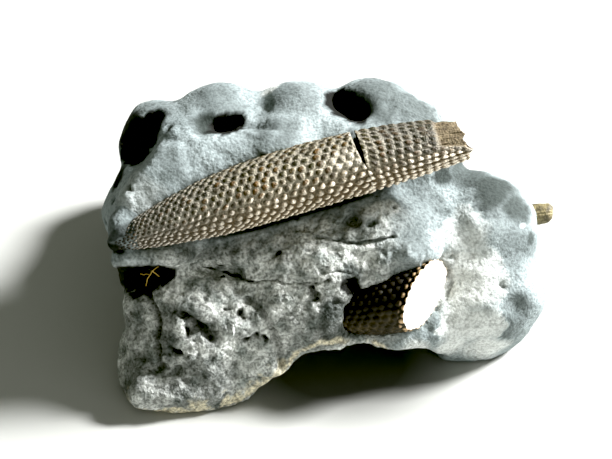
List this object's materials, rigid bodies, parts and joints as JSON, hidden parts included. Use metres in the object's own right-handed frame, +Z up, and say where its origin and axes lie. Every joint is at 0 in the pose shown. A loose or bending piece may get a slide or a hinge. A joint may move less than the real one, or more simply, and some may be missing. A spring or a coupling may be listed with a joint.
{
  "type": "fossil sea urchin spines in stone",
  "caption": "Lump of grey marly limestone with knobbly fossil sea-urchin spines set in its sloping front, resting on a flat underside hollowed into a low arch.",
  "frame": {"origin": "on the flat underside, in the middle of the footprint of the bounding box", "axes": "+X along the block, towards the stub of the third spine; -Y towards the sloping front with the spines; +Z up"},
  "size_m": [0.0496, 0.0407, 0.0296],
  "materials": {
    "grey_limestone": "rough, dull, weathered stone",
    "brown_fossil_calcite": "satin, worn pale on the tips of the granules"
  },
  "bodies": {
    "root": {"stone_block": "grey_limestone", "spine_shaft": "brown_fossil_calcite", "spine_end": "brown_fossil_calcite", "second_spine": "brown_fossil_calcite", "spine_stub": "brown_fossil_calcite"}
  },
  "joints": []
}
